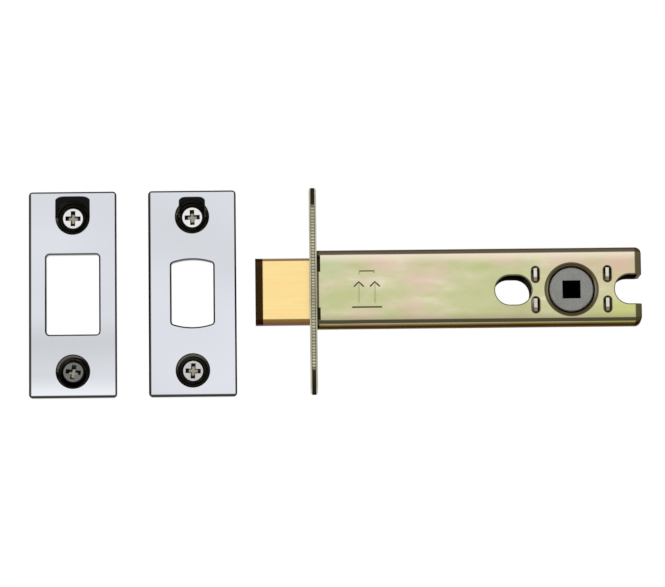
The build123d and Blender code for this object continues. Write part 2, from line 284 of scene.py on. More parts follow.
def pressed_patch(finish, across, z, foot, half_width, height):
    """Patch pressed into the front from its foot up: where it lies, and how far below its top."""
    corner = finish.math("POWER", finish.math("DIVIDE", across, half_width), PRESSED_CORNER_POWER)
    top = finish.math("SUBTRACT", foot + height, corner)
    fall = finish.math("MAXIMUM", finish.math("SUBTRACT", top, z), 0.0)
    within = finish.between(across, half_width - PRESSED_FADE, half_width + PRESSED_FADE, 1.0, 0.0)
    above = finish.math("GREATER_THAN", z, foot)
    in_front = finish.math("LESS_THAN", finish.tilt("Y"), PLATE_FRONT_TILT)
    return finish.times(within, above, in_front), fall


def polished_plate(name, node, pressed_half_width, pressed_height, painted_reflection_share):
    """Polished plate: cool tone with a painted reflection, painted shade on its rim, walls and countersinks,
    and pressed in above the upper countersink, where it is painted near black.
    """
    low, high = box_mm(node)
    middle = (low + high) / 2
    screws_low, screws_high = box_mm(node.replace("plate", "screws"))
    screw_rise = (screws_high.z - screws_low.z - (screws_high.x - screws_low.x)) / 2
    upper_screw = middle.z + screw_rise
    finish = Finish(name)
    x, _, z = finish.place()
    across = finish.away(x, middle.x)
    from_screw = finish.from_line(across, finish.away(z, middle.z), (0, screw_rise))
    tone = finish.noise((26, 26, 34), detail=1.0)
    # Painted reflection: a dimmer band above a brighter foot
    painted_dim_band, glow = painted_plate_reflection(finish, z, low.z, painted_reflection_share)
    pressed, fall = pressed_patch(finish, across, z, upper_screw, pressed_half_width, pressed_height)
    # Painted shade: the pressed patch is coloured near black as a painted dark reflection
    painted_darkening = finish.times(pressed, finish.between(fall, 0.0, PRESSED_SHADE_DEPTH, 0.0, 0.99))
    # Painted shade on the plate's side faces and the walls of its opening
    painted_wall_shade = finish.between(finish.facing("Y"), *PLATE_WALL_FACING, 0.9, 0.0)
    finish.colour(finish.layers(
        finish.tones(tone, (0.66, 0.68, 0.72), (0.75, 0.77, 0.83)),
        (painted_dim_band, (0.57, 0.585, 0.61)),
        (glow, (0.86, 0.89, 0.93)),
        (painted_darkening, (0.002, 0.002, 0.002)),
        (painted_wall_shade, (0.025, 0.025, 0.025)),
        countersink_painted_shade(finish, from_screw),
        (painted_rim_shade(finish, x, z, low, high), (0.03, 0.03, 0.025)),
    ))
    finish.gloss(tone, 0.07, 0.12)
    finish.relief(finish.times(fall, pressed), -PRESSED_SLOPE)
    return finish.material


# Yellow zinc of the case, in millimetres
INSIDE_HALF_WIDTH = 5.52
WALL_AND_PLAY = 0.95
WALL_BEND = 1.6
FRONT_LINE = 0.6
REAR_LINE_START = 0.55
REAR_LINE_FULL = 0.1
PALE_HEIGHT = 5.0
SHADED_HEIGHT = 2.6
COLLAR_RADIUS = 7.55
COLLAR_CREST_RADIUS = 6.95
COLLAR_CREST_FADE = 0.4
ROSE_OFFSET = 16.65
ROSE_HOLE_RADIUS = 4.25
ROSE_HOLE_STRETCH = 1.0
TAB_HALF_HEIGHT = 1.85
SLOT_RADIUS = 1.08
SLOT_STRETCH = 1.2
OUTLINE = 0.34

# How squarely a bend of the case faces up, or down if less than 0, where its shade starts and ends
ROOF_TILT = (0.88, 0.98)
CREST_START_TILT = (0.08, 0.3)
CREST_END_TILT = (0.972, 0.985)
CREASE_START_TILT = (-0.3, -0.12)
CREASE_END_TILT = (-0.86, -0.80)
UNDERSIDE_TILT = (-0.99, -0.955)

# Stains of the passivation on the near wall: place, radius, strength and colour
STAINS = [
    ((6, 7), 8, 0.7, (0.57, 0.62, 0.37)),
    ((60, -8), 10, 0.6, (0.50, 0.47, 0.25)),
    ((89, 8), 11, 0.8, (0.74, 0.50, 0.40)),
    ((90, -7), 9, 0.9, (0.58, 0.62, 0.22)),
]


def tab_place():
    """How far the bridges' tabs lie beside and above the hub's axis."""
    low, high = box_mm("front_bridge")
    return HUB.x - (low.x + high.x) / 2, high.z - HUB.z - TAB_HALF_HEIGHT


def hole_outlines(finish, x, z):
    """Share of the painted shade round each hole and slot in the case's wall and on the rolled collar, less a
    painted highlight on the collar's crest.
    """
    across, up = finish.away(x, HUB.x), finish.away(z, HUB.z)
    rear_half = box_mm("case_near_half")[1].x - HUB.x
    from_hub = finish.from_line(across, up, (0, 0))
    gaps = [
        (from_hub, COLLAR_RADIUS),
        (finish.from_line(across, up, tab_place(), 0, SLOT_STRETCH), SLOT_RADIUS),
        (finish.from_line(x, z, (HUB.x - ROSE_OFFSET, HUB.z), ROSE_HOLE_STRETCH), ROSE_HOLE_RADIUS),
        (finish.from_line(x, z, (HUB.x + ROSE_OFFSET + rear_half, HUB.z), rear_half), ROSE_HOLE_RADIUS),
    ]
    dark = 0.0
    for distance, radius in gaps:
        line = finish.between(distance, radius + OUTLINE / 2, radius + OUTLINE, 0.92, 0.0)
        dark = finish.math("MAXIMUM", line, dark)
    # Painted highlight ring on the crest of the rolled collar
    crest = finish.between(finish.away(from_hub, COLLAR_CREST_RADIUS), 0.0, COLLAR_CREST_FADE, 0.2, 0.0)
    return finish.math("SUBTRACT", dark, crest)


def case_lines(finish, x, z, rear):
    """Share of the painted shade at the case's ends and round its holes."""
    front_line = box_mm("forend")[1].x + FRONT_LINE
    rear_bend = rear - WALL_BEND
    at_front = finish.between(x, front_line - SOFT, front_line + SOFT, 0.92, 0.0)
    at_rear = finish.between(x, rear_bend - REAR_LINE_START, rear_bend - REAR_LINE_FULL, 0.0, 0.93)
    at_ends = finish.math("MAXIMUM", at_front, at_rear)
    return finish.math("MAXIMUM", hole_outlines(finish, x, z), at_ends)


def zinc_drift(finish, streaks, rise, half_height):
    """Olive to pale straw, with pink patches that gather towards the bends."""
    patches = finish.noise((42, 60, 85), detail=3.0)
    straw = finish.ramp(streaks, [
        (0.30, (0.53, 0.56, 0.26)),
        (0.45, (0.58, 0.595, 0.325)),
        (0.58, (0.65, 0.635, 0.385)),
        (0.72, (0.80, 0.76, 0.53)),
    ])
    pink = finish.tones(streaks, (0.69, 0.53, 0.40), (0.80, 0.63, 0.51))
    near_bend = finish.between(rise, half_height * 0.25, half_height * 0.85, -0.09, 0.09)
    pink_share = finish.between(finish.math("ADD", patches, near_bend), 0.47, 0.66, 0.0, 0.9)
    return finish.blend(pink_share, straw, pink)


def stain_coats(finish, x, z):
    """Share and colour of each stain."""
    return [
        (finish.between(finish.from_line(x, z, place), 0.0, radius, share, 0.0), colour)
        for place, radius, share, colour in STAINS
    ]


def painted_bend_shades(finish):
    """Shares and colours of the painted shade on the case's top, along its top and lower bends, and on its
    underside.
    """
    up = finish.tilt("Z")
    # Painted shade along the top bend
    crest = finish.times(
        finish.between(up, *CREST_START_TILT, 0.0, 0.93),
        finish.between(up, *CREST_END_TILT, 1.0, 0.0),
    )
    painted_crease_shade = finish.times(
        finish.between(up, *CREASE_START_TILT, 0.93, 0.0),
        finish.between(up, *CREASE_END_TILT),
    )
    return [
        (finish.between(up, *ROOF_TILT, 0.0, 0.9), (0.42, 0.32, 0.21)),
        (crest, (0.06, 0.047, 0.03)),
        (painted_crease_shade, (0.05, 0.04, 0.022)),
        (finish.between(up, *UNDERSIDE_TILT, 0.95, 0.0), (0.10, 0.074, 0.047)),
    ]


def yellow_zinc():
    """Yellow passivated zinc: olive to pale straw with pink patches outside, and painted shade inside, on its
    bends and underside, and about its holes and ends.
    """
    low, high = box_mm("case_far_half")
    half_height = (high.z - low.z) / 2
    finish = Finish("yellow_zinc")
    x, y, z = finish.place()
    rise = finish.away(z, (low.z + high.z) / 2)
    streaks = finish.noise((70, 140, 210), detail=5.0)
    pale = finish.between(z, high.z - PALE_HEIGHT, high.z - WALL_BEND, 0.0, 0.72)
    # Painted shade: the wall darkens towards its lower bend
    painted_darkening = finish.between(z, low.z + WALL_BEND, low.z + WALL_BEND + SHADED_HEIGHT, 0.5, 0.0)
    # Painted shade inside the case
    painted_inside_shade = finish.times(
        finish.math("LESS_THAN", finish.math("ABSOLUTE", y), INSIDE_HALF_WIDTH),
        finish.math("LESS_THAN", rise, half_height - WALL_AND_PLAY),
        finish.math("LESS_THAN", x, high.x - WALL_AND_PLAY),
    )
    finish.colour(finish.layers(
        zinc_drift(finish, streaks, rise, half_height),
        *stain_coats(finish, x, z),
        (pale, (0.95, 0.86, 0.69)),
        (painted_darkening, (0.30, 0.25, 0.15)),
        *painted_bend_shades(finish),
        (case_lines(finish, x, z, high.x), (0.06, 0.045, 0.02)),
        (painted_inside_shade, (0.05, 0.045, 0.03)),
    ))
    finish.set("Specular Tint", (0.30, 0.25, 0.18, 1))
    finish.gloss(streaks, 0.20, 0.27)
    finish.relief(finish.noise((1500, 1500, 2600)), 0.003)
    return finish.material


# Brass of the bolt, in millimetres. The arched ends drop towards the sides of the bolt.
INSIDE_SHADE_START = 1.6
INSIDE_SHADE_FADE = 0.6
NOSE_LENGTH = 2.25
ARCH_DROP = 0.8
EDGE_LINE = 0.45
EDGE_LINE_FADE = 0.1
NOSE_FADE = 0.05

# How squarely a face of the bolt must look sideways or down: limits of each shade
BOLT_SIDE_FACING = (0.3, 0.7)
BOLT_UNDERSIDE_TILT = (-0.9, -0.5)


def brushed_brass():
    """Brass with fine brushing along the bolt, and painted shade on its nose, along its edges, on its
    underside and on what stays in the case.
    """
    low, high = box_mm("bolt")
    nose_end = low.x + NOSE_LENGTH
    line_start = (high.z - low.z) / 2 - ARCH_DROP - EDGE_LINE
    finish = Finish("brushed_brass")
    x, _, z = finish.place()
    grain = finish.noise((60, 900, 1400))
    from_middle = finish.away(z, (low.z + high.z) / 2)
    # Painted shade along the edges, on the underside, on the nose and on what stays in the case
    painted_edge_shade = finish.times(
        finish.between(from_middle, line_start - SOFT, line_start + EDGE_LINE_FADE, 0.0, 0.85),
        finish.between(finish.facing("Y"), *BOLT_SIDE_FACING),
    )
    painted_underside_shade = finish.between(finish.tilt("Z"), *BOLT_UNDERSIDE_TILT, 1.0, 0.0)
    painted_nose_shade = finish.between(x, nose_end - SOFT, nose_end + NOSE_FADE, 0.95, 0.0)
    painted_shade_in_case = finish.between(x, INSIDE_SHADE_START, INSIDE_SHADE_START + INSIDE_SHADE_FADE)
    finish.colour(finish.layers(
        finish.tones(grain, (0.99, 0.71, 0.295), (1.0, 0.785, 0.355)),
        (painted_underside_shade, (0.33, 0.225, 0.08)),
        (painted_edge_shade, (0.10, 0.05, 0.01)),
        (painted_nose_shade, (0.035, 0.012, 0.002)),
        (painted_shade_in_case, (0.025, 0.018, 0.008)),
    ))
    finish.set("Specular Tint", (0.36, 0.26, 0.34, 1))
    finish.gloss(grain, 0.18, 0.25)
    finish.relief(grain, 0.002)
    return finish.material


# Sheared edge of the forend, in millimetres, and how squarely a face looks along X where the edge ends
MARK_PERIOD = 0.85
STRIP_HALF_WIDTH = 0.38
STRIP_END_GAP = 5.5
STRIP_END_FADE = (-1.5, 0.5)
FOREND_EDGE_FACING = (0.2, 0.9)


def sheared_steel():
    """Plated steel plate whose long edges carry a bright strip of shear marks between bands of painted shade,
    which also darken the edge past the strip's ends.
    """
    low, high = box_mm("forend")
    middle = (low + high) / 2
    strip_end = (high.z - low.z) / 2 - STRIP_END_GAP
    fade_start, fade_end = (strip_end + fade for fade in STRIP_END_FADE)
    finish = Finish("sheared_steel")
    x, _, z = finish.place()
    tone = finish.noise((200, 200, 140))
    marks = finish.bands("Z", MARK_PERIOD)
    plain = finish.tones(tone, (0.52, 0.50, 0.38), (0.66, 0.62, 0.47))
    # Painted shade on the edge beside the bright strip and past its ends
    band = finish.tones(tone, (0.018, 0.014, 0.008), (0.030, 0.025, 0.016))
    sharp = finish.ramp(marks, [(0.2, (0.20, 0.19, 0.12)), (0.8, (0.62, 0.60, 0.42))])
    # Darker in stretches along the strip
    darker_stretches = finish.between(finish.noise((1, 1, 110)), 0.4, 0.65, 0.0, 0.6)
    cut = finish.blend(darker_stretches, sharp, (0.24, 0.24, 0.155))
    in_strip = finish.times(
        finish.between(finish.away(x, middle.x), STRIP_HALF_WIDTH, STRIP_HALF_WIDTH + SOFT, 1.0, 0.0),
        finish.between(finish.away(z, middle.z), fade_start, fade_end, 1.0, 0.0),
    )
    on_edge = finish.between(finish.facing("X"), *FOREND_EDGE_FACING, 1.0, 0.0)
    dull = finish.times(on_edge, finish.math("SUBTRACT", 1.0, in_strip))
    finish.colour(finish.blend(on_edge, plain, finish.blend(in_strip, band, cut)))
    finish.set("Metallic", finish.math("SUBTRACT", 1.0, dull))
    finish.set("Roughness", finish.between(dull, 0.0, 1.0, 0.3, 0.65))
    finish.set("Specular IOR Level", 0.0)
    finish.relief(finish.times(marks, in_strip), 0.05)
    return finish.material


# Casting of the hub: half of its square hole and the lip of painted shade about it in millimetres, and how
# metallic it is
SPINDLE_HALF = 2.53
SPINDLE_LIP = (0.02, 0.12)
CASTING_METALLIC = 0.3


def grey_casting():
    """Dull grey die casting with a fine grain, and painted shade in its spindle hole."""
    lip_start, lip_end = (SPINDLE_HALF + lip for lip in SPINDLE_LIP)
    finish = Finish("grey_casting")
    x, _, z = finish.place()
    grain = finish.noise((2600, 2600, 2600))
    cloud = finish.between(finish.noise((420, 420, 420)), 0.4, 0.7, 0.0, 0.5)
    to_axis = finish.math("MAXIMUM", finish.away(x, HUB.x), finish.away(z, HUB.z))
    painted_bore_shade = finish.between(to_axis, lip_start, lip_end, 1.0, 0.0)
    finish.colour(finish.layers(
        finish.tones(grain, (0.20, 0.20, 0.187), (0.29, 0.29, 0.275)),
        (cloud, (0.20, 0.195, 0.19)),
        (painted_bore_shade, (0.006, 0.006, 0.005)),
    ))
    finish.set("Metallic", finish.times(finish.math("SUBTRACT", 1.0, painted_bore_shade), CASTING_METALLIC))
    finish.set("Specular IOR Level", 0.0)
    finish.gloss(grain, 0.5, 0.62)
    finish.relief(grain, 0.02)
    return finish.material


# Steel of the inner pieces and the screws. Lengths are in millimetres, and the painted shade on the lower
# screw heads is a share. A tab's foot lies below its middle, and a recess's floor looks along -Y.
TAB_BRIGHT_HALF = 0.38
TAB_END_DEPTH = 0.1
TAB_FOOT = (-0.9, -0.45)
RECESS_FLOOR_TILT = (-0.97, -0.9)
PLATES_FADE = 1
STRIKE_SCREW_PAINTED_SHADE = 0.85
COVER_SCREW_PAINTED_SHADE = 0.3


def plain_steel(name, dark, light, grain, gloss):
    """Steel whose tone and gloss drift together along a grain."""
    finish = Finish(name)
    tone = finish.noise(grain)
    finish.colour(finish.tones(tone, dark, light))
    finish.gloss(tone, *gloss)
    return finish.material


def inner_steel():
    """Plain zinc-plated steel of the tail and its rivets."""
    return plain_steel("inner_steel", (0.62, 0.60, 0.50), (0.76, 0.72, 0.60), (300, 300, 500), (0.24, 0.32))


def spring_steel():
    """Blued spring leaf."""
    return plain_steel("spring_steel", (0.20, 0.22, 0.28), (0.28, 0.30, 0.36), (300, 900, 300), (0.25, 0.32))


def bridge_steel():
    """Steel of the bridges: painted shade inside the case and on the sides of each tab end, leaving a painted
    highlight along its middle.
    """
    tab_offset, tab_rise = tab_place()
    tab_end = box_mm("front_bridge")[1].y
    finish = Finish("bridge_steel")
    x, y, z = finish.place()
    tone = finish.noise((300, 300, 500))
    above_upper = finish.math("SUBTRACT", z, HUB.z + tab_rise)
    on_lower = finish.math("LESS_THAN", z, HUB.z)
    above_own = finish.math("ADD", above_upper, finish.times(on_lower, 2 * tab_rise))
    foot = finish.between(above_own, *TAB_FOOT, 0.9, 0.0)
    beside = finish.away(finish.away(x, HUB.x), tab_offset)
    # Painted shade on the sides of each tab end, leaving a painted highlight along its middle
    painted_side_shade = finish.between(beside, TAB_BRIGHT_HALF, TAB_BRIGHT_HALF + SOFT)
    painted_inside_shade = finish.math("LESS_THAN", finish.math("ABSOLUTE", y), tab_end - TAB_END_DEPTH)
    finish.colour(finish.layers(
        finish.tones(tone, (0.62, 0.60, 0.50), (0.80, 0.77, 0.66)),
        (foot, (0.24, 0.14, 0.085)),
        (finish.math("MAXIMUM", painted_side_shade, painted_inside_shade), (0.05, 0.042, 0.026)),
    ))
    finish.gloss(tone, 0.24, 0.32)
    return finish.material


def screw_steel():
    """Bright zinc plate of the screws, with painted shade on each plate's lower head."""
    strike_high = box_mm("strike_plate")[1]
    between_plates = (strike_high.x + box_mm("cover_plate")[0].x) / 2
    finish = Finish("screw_steel")
    x, y, z = finish.place()
    tone = finish.noise((260, 260, 260))
    bright = finish.tones(tone, (0.74, 0.74, 0.74), (0.88, 0.88, 0.88))
    fade = (between_plates - PLATES_FADE, between_plates + PLATES_FADE)
    # Painted shade on each plate's lower screw head
    dull = finish.times(
        finish.math("LESS_THAN", z, 0.0),
        finish.math("LESS_THAN", y, strike_high.y),
        finish.between(x, *fade, STRIKE_SCREW_PAINTED_SHADE, COVER_SCREW_PAINTED_SHADE),
    )
    finish.colour(finish.blend(dull, bright, (0.06, 0.06, 0.055)))
    finish.gloss(tone, 0.16, 0.22)
    return finish.material


def recess_steel():
    """Painted shade on the walls of the screws' cross recesses, and a painted highlight on their floor."""
    finish = Finish("recess_steel")
    tone = finish.noise((900, 900, 900))
    # Painted shade on the recess walls
    walls = finish.tones(tone, (0.05, 0.05, 0.045), (0.10, 0.10, 0.09))
    # Painted highlight on the recess floor
    floor = finish.between(finish.tilt("Y"), *RECESS_FLOOR_TILT, 1.0, 0.0)
    finish.colour(finish.blend(floor, walls, (0.36, 0.33, 0.26)))
    finish.gloss(tone, 0.3, 0.4)
    return finish.material


# Pieces
SHARP_ANGLE = math.radians(32)
SQUARE_ENOUGH = 0.9999
WELD_DISTANCE = 0.001 * MM


def dress(piece, slot, *materials):
    """Gives a piece its materials; its slot is not used."""
    if piece.data.materials:
        piece.data.materials.clear()
    for material in materials:
        piece.data.materials.append(material)


def add_object(name, data):
    piece = bpy.data.objects.new(name, data)
    bpy.context.scene.collection.objects.link(piece)
    return piece


def evaluated_mesh(piece):
    """The piece's mesh with its modifiers worked in."""
    graph = bpy.context.evaluated_depsgraph_get()
    return bpy.data.meshes.new_from_object(piece.evaluated_get(graph))


def is_flat(face):
    """True for a face square to one of the axes, as the walls of the case are."""
    return max(abs(c) for c in face.normal) > SQUARE_ENOUGH


def fans(vert):
    """The faces round a vertex, in groups that no sharp edge parts."""
    left = set(vert.link_faces)
    while left:
        fan = [left.pop()]
        for face in fan:
            for edge in face.edges:
                if edge.smooth and vert in edge.verts:
                    joined = left.intersection(edge.link_faces)
                    left -= joined
                    fan.extend(joined)
        yield fan


def smooth(piece):
    """Smooth shading that breaks at sharp edges. Where a bend meets a flat wall, the wall's normal holds."""
    mesh = piece.data
    if mesh.has_custom_normals:
        mesh.attributes.remove(mesh.attributes["custom_normal"])
    bm = bmesh.new()
    bm.from_mesh(mesh)
    for edge in bm.edges:
        edge.smooth = edge.calc_face_angle(0.0) < SHARP_ANGLE
    normals = {}
    for vert in bm.verts:
        for fan in fans(vert):
            leading = [face for face in fan if is_flat(face)] or fan
            normal = sum((face.normal * face.calc_area() for face in leading), Vector())
            normals.update({(face.index, vert.index): normal.normalized() for face in fan})
    for face in bm.faces:
        face.smooth = True
    corners = [normals[face.index, vert.index] for face in bm.faces for vert in face.verts]
    bm.to_mesh(mesh)
    bm.free()
    mesh.normals_split_custom_set(corners)
    return piece


def mesh_object(name, bm):
    """Object from a bmesh."""
    mesh = bpy.data.meshes.new(name)
    bmesh.ops.recalc_face_normals(bm, faces=bm.faces)
    bm.to_mesh(mesh)
    bm.free()
    return add_object(name, mesh)


def bridge_rings(bm, rings):
    """Faces between each closed ring of vertices and the next."""
    for here, there in zip(rings, rings[1:]):
        for k in range(len(here)):
            after = (k + 1) % len(here)
            bm.faces.new((here[k], here[after], there[after], there[k]))
    for ring in (rings[0], rings[-1]):
        bm.faces.new(ring)


def welded_copy(node, name):
    """Copy of a CAD node's mesh with its seams joined, ready to be cut."""
    bm = bmesh.new()
    bm.from_mesh(NODES[node].data)
    bmesh.ops.remove_doubles(bm, verts=bm.verts, dist=WELD_DISTANCE)
    return mesh_object(name, bm)


def split_at(piece, x):
    """New edges where the plane at x crosses the piece, so that cuts beside it stay local."""
    bm = bmesh.new()
    bm.from_mesh(piece.data)
    bmesh.ops.bisect_plane(
        bm, geom=bm.verts[:] + bm.edges[:] + bm.faces[:], plane_co=(x * MM, 0, 0), plane_no=(1, 0, 0)
    )
    bm.to_mesh(piece.data)
    bm.free()


def cut_out(piece, cutter):
    """Takes the cutter's volume out of the piece and deletes the cutter."""
    modifier = piece.modifiers.new("cut", "BOOLEAN")
    modifier.operation = "DIFFERENCE"
    modifier.solver = "EXACT"
    modifier.object = cutter
    piece.data = evaluated_mesh(piece)
    piece.modifiers.clear()
    bpy.data.objects.remove(cutter)


# Screw sizes in millimetres, measured from the head's flat top
HEAD_RADIUS = 3.05
HEAD_PLAY = 0.11
HEAD_EDGE = 0.08
HEAD_DEPTH = 1.35
HEAD_FOOT_RADIUS = 1.72
NECK_START = 2.2
NECK_RADIUS = 1.45
NECK_END_GAP = 0.4
CREST_RADIUS = 1.75
CORE_RADIUS = 1.2
CORE_START_GAP = 0.2
TIP_RADIUS = 0.12
TIP_LENGTH = 0.1
SCREW_LENGTH = 19.0
POINT_LENGTH = 5.0
THREAD_START = 4.0
THREAD_END_GAP = 0.8
THREAD_PITCH = 1.5
THREAD_FOOT_HALF = 0.36
THREAD_CREST_HALF = 0.05
THREAD_ROOT = 0.05
RECESS_SPAN = 2.2
RECESS_HALF_WIDTH = 0.66
RECESS_DEPTH = 1.35

# The recess's sizes at a depth, as shares of those at the head's top
RECESS_SHARES = [(-0.3, 1.08), (0.0, 1.0), (RECESS_DEPTH, 0.58)]

# Share of its height that the thread keeps where the core runs out
THREAD_LEAST = 0.35

# Lower and upper screw of each plate: turn and lean in degrees, and lift from its seat in millimetres
SCREW_SEATS = {
    "cover_screws": ((3, 4.5, 0.25), (-2, 0, 0)),
    "strike_screws": ((8, -14, 0.65), (1, 0, 0)),
}


def core_radius(depth):
    """Radius of the threaded core, which tapers to the point."""
    left = SCREW_LENGTH - depth
    return max(TIP_RADIUS, CORE_RADIUS * min(1.0, left / POINT_LENGTH))


def screw_blank(bm, turns=48):
    """Countersunk head, short plain neck and tapering core, turned about +Y."""
    rim = HEAD_RADIUS - HEAD_PLAY
    profile = [
        (0, 0),
        (rim - HEAD_EDGE, 0),
        (rim, HEAD_EDGE),
        (HEAD_FOOT_RADIUS, HEAD_DEPTH),
        (NECK_RADIUS, NECK_START),
        (NECK_RADIUS, THREAD_START - NECK_END_GAP),
        (CORE_RADIUS, THREAD_START + CORE_START_GAP),
        (CORE_RADIUS, SCREW_LENGTH - POINT_LENGTH),
        (TIP_RADIUS, SCREW_LENGTH - TIP_LENGTH),
        (0, SCREW_LENGTH),
    ]
    verts = [bm.verts.new((r * MM, depth * MM, 0)) for r, depth in profile]
    edges = [bm.edges.new(pair) for pair in zip(verts, verts[1:])]
    bmesh.ops.spin(
        bm, geom=verts + edges, cent=(0, 0, 0), axis=(0, 1, 0), angle=math.tau, steps=turns, use_merge=True
    )
    bmesh.ops.remove_doubles(bm, verts=bm.verts, dist=WELD_DISTANCE)


def screw_thread(bm, steps_per_turn=28):
    """Helical ridge from the neck to the point."""
    steps = int((SCREW_LENGTH - THREAD_END_GAP - THREAD_START) / THREAD_PITCH * steps_per_turn)
    rows = []
    for step in range(steps + 1):
        angle = math.tau * step / steps_per_turn
        depth = THREAD_START + THREAD_PITCH * step / steps_per_turn
        core = core_radius(depth)
        grow = min(1.0, step / steps_per_turn)
        fade = THREAD_LEAST + (1 - THREAD_LEAST) * core / CORE_RADIUS
        crest = core + (CREST_RADIUS - CORE_RADIUS) * grow * fade
        profile = [
            (core - THREAD_ROOT, -THREAD_FOOT_HALF),
            (crest, -THREAD_CREST_HALF),
            (crest, THREAD_CREST_HALF),
            (core - THREAD_ROOT, THREAD_FOOT_HALF),
        ]
        row = []
        for radius, lift in profile:
            place = Vector((radius * math.cos(angle), depth + lift, radius * math.sin(angle)))
            row.append(bm.verts.new(place * MM))
        rows.append(row)
    bridge_rings(bm, rows)


def recess_cutter():
    """Cross recess that narrows towards its floor."""
    bm = bmesh.new()
    outline = [
        (RECESS_HALF_WIDTH, RECESS_SPAN),
        (RECESS_HALF_WIDTH, RECESS_HALF_WIDTH),
        (RECESS_SPAN, RECESS_HALF_WIDTH),
    ]
    points = []
    for quarter in range(4):
        turn = Matrix.Rotation(-quarter * math.pi / 2, 2)
        points += [turn @ Vector(p) for p in outline]
    rings = []
    for y, share in RECESS_SHARES:
        rings.append([bm.verts.new((p.x * share * MM, y * MM, p.y * share * MM)) for p in points])
    bridge_rings(bm, rings)
    return mesh_object("recess_cutter", bm)


def rounded_place(vert):
    """Place of a vertex in millimetres, rounded so that it can be looked up."""
    return tuple(round(c / MM, 3) for c in vert.co)


def wood_screw(name):
    """One screw at the origin, pointing along +Y, with its recess in a second material."""
    bm = bmesh.new()
    screw_blank(bm)
    blank = mesh_object(name, bm)
    whole = {rounded_place(vert) for vert in blank.data.vertices}
    cut_out(blank, recess_cutter())
    bm = bmesh.new()
    bm.from_mesh(blank.data)
    for face in bm.faces:
        face.material_index = 0 if any(rounded_place(vert) in whole for vert in face.verts) else 1
    screw_thread(bm)
    bpy.data.objects.remove(blank)
    return mesh_object(name, bm)


def screw_pair(node, seats):
    """Two detailed screws for a plate's CAD screws. A loose one leans and stands out of its seat."""
    low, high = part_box(node)
    middle_x = (low.x + high.x) / 2
    heights = (low.z + HEAD_RADIUS * MM, high.z - HEAD_RADIUS * MM)
    bm = bmesh.new()
    for z, (turn, lean, lift) in zip(heights, seats):
        screw = wood_screw(node + "_one")
        tilt = Matrix.Rotation(math.radians(lean), 4, "X")
        spin = Matrix.Rotation(math.radians(turn), 4, "Y")
        screw.data.transform(Matrix.Translation((middle_x, low.y - lift * MM, z)) @ tilt @ spin)
        bm.from_mesh(screw.data)
        bpy.data.objects.remove(screw)
    pair = smooth(mesh_object(node + "_threaded", bm))
    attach(pair, CASE_BODY)
    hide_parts(node)
    return pair


# Way-up mark, in millimetres on the near wall of the case
MARK_X = 16.4
MARK_HALF_ROOM = 5.6
BRACKET_Z = 5.1
BRACKET_HALF_WIDTH = 2.1
BRACKET_LEFT_LEG = 1.0
BRACKET_RIGHT_LEG = 0.7
BAR_Z = -5.3
BAR_HALF_WIDTH = 4.3
ARROW_OFFSET = 2.3
ARROW_FOOT_Z = -4.1
ARROW_TOP_Z = 2.0
ARROW_HEAD = 1.4
ARROW_GAP = 0.35
STROKE_RADIUS = 0.22


def stroke_cutter(stroke, surface_y):
    """Round-nosed stamp line along a stroke of (x, z) points on the near wall."""
    curve = bpy.data.curves.new("stroke_cutter", "CURVE")
    curve.dimensions = "3D"
    curve.fill_mode = "FULL"
    curve.bevel_depth = STROKE_RADIUS * MM
    curve.bevel_resolution = 2
    curve.use_fill_caps = True
    spline = curve.splines.new("POLY")
    spline.points.add(len(stroke) - 1)
    for point, (x, z) in zip(spline.points, stroke):
        point.co = (x * MM, surface_y, z * MM, 1.0)
    holder = add_object("stroke_curve", curve)
    cutter = add_object("stroke_cutter", evaluated_mesh(holder))
    bpy.data.objects.remove(holder)
    return cutter


def way_up_strokes():
    """Plain way-up sign: a bracket, and two upward arrows over a bar."""
    left, right = MARK_X - BRACKET_HALF_WIDTH, MARK_X + BRACKET_HALF_WIDTH
    bracket = [
        (left, BRACKET_Z - BRACKET_LEFT_LEG),
        (left, BRACKET_Z),
        (right, BRACKET_Z),
        (right, BRACKET_Z - BRACKET_RIGHT_LEG),
    ]
    bar = [(MARK_X - BAR_HALF_WIDTH, BAR_Z), (MARK_X + BAR_HALF_WIDTH, BAR_Z)]
    strokes = [bracket, bar]
    barb_z = ARROW_TOP_Z - ARROW_HEAD
    for x in (MARK_X - ARROW_OFFSET, MARK_X + ARROW_OFFSET):
        strokes.append([(x, ARROW_FOOT_Z), (x, ARROW_TOP_Z - ARROW_GAP)])
        strokes.append([(x - ARROW_HEAD, barb_z), (x, ARROW_TOP_Z), (x + ARROW_HEAD, barb_z)])
    return strokes


def stamped_case():
    """Near half of the case with the way-up mark stamped into it."""
    case = welded_copy("case_near_half", "case_near_stamped")
    for x in (MARK_X - MARK_HALF_ROOM, MARK_X + MARK_HALF_ROOM):
        split_at(case, x)
    surface_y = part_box("case_near_half")[0].y
    for stroke in way_up_strokes():
        cut_out(case, stroke_cutter(stroke, surface_y))
    smooth(case)
    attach(case, CASE_BODY)
    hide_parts("case_near_half")
    return case


# Pressed patch of each plate, which is painted near black as a dark reflection: half width, and height above
# the upper screw, in millimetres
COVER_PATCH = (3.8, 5.95)
STRIKE_PATCH = (5.0, 6.45)


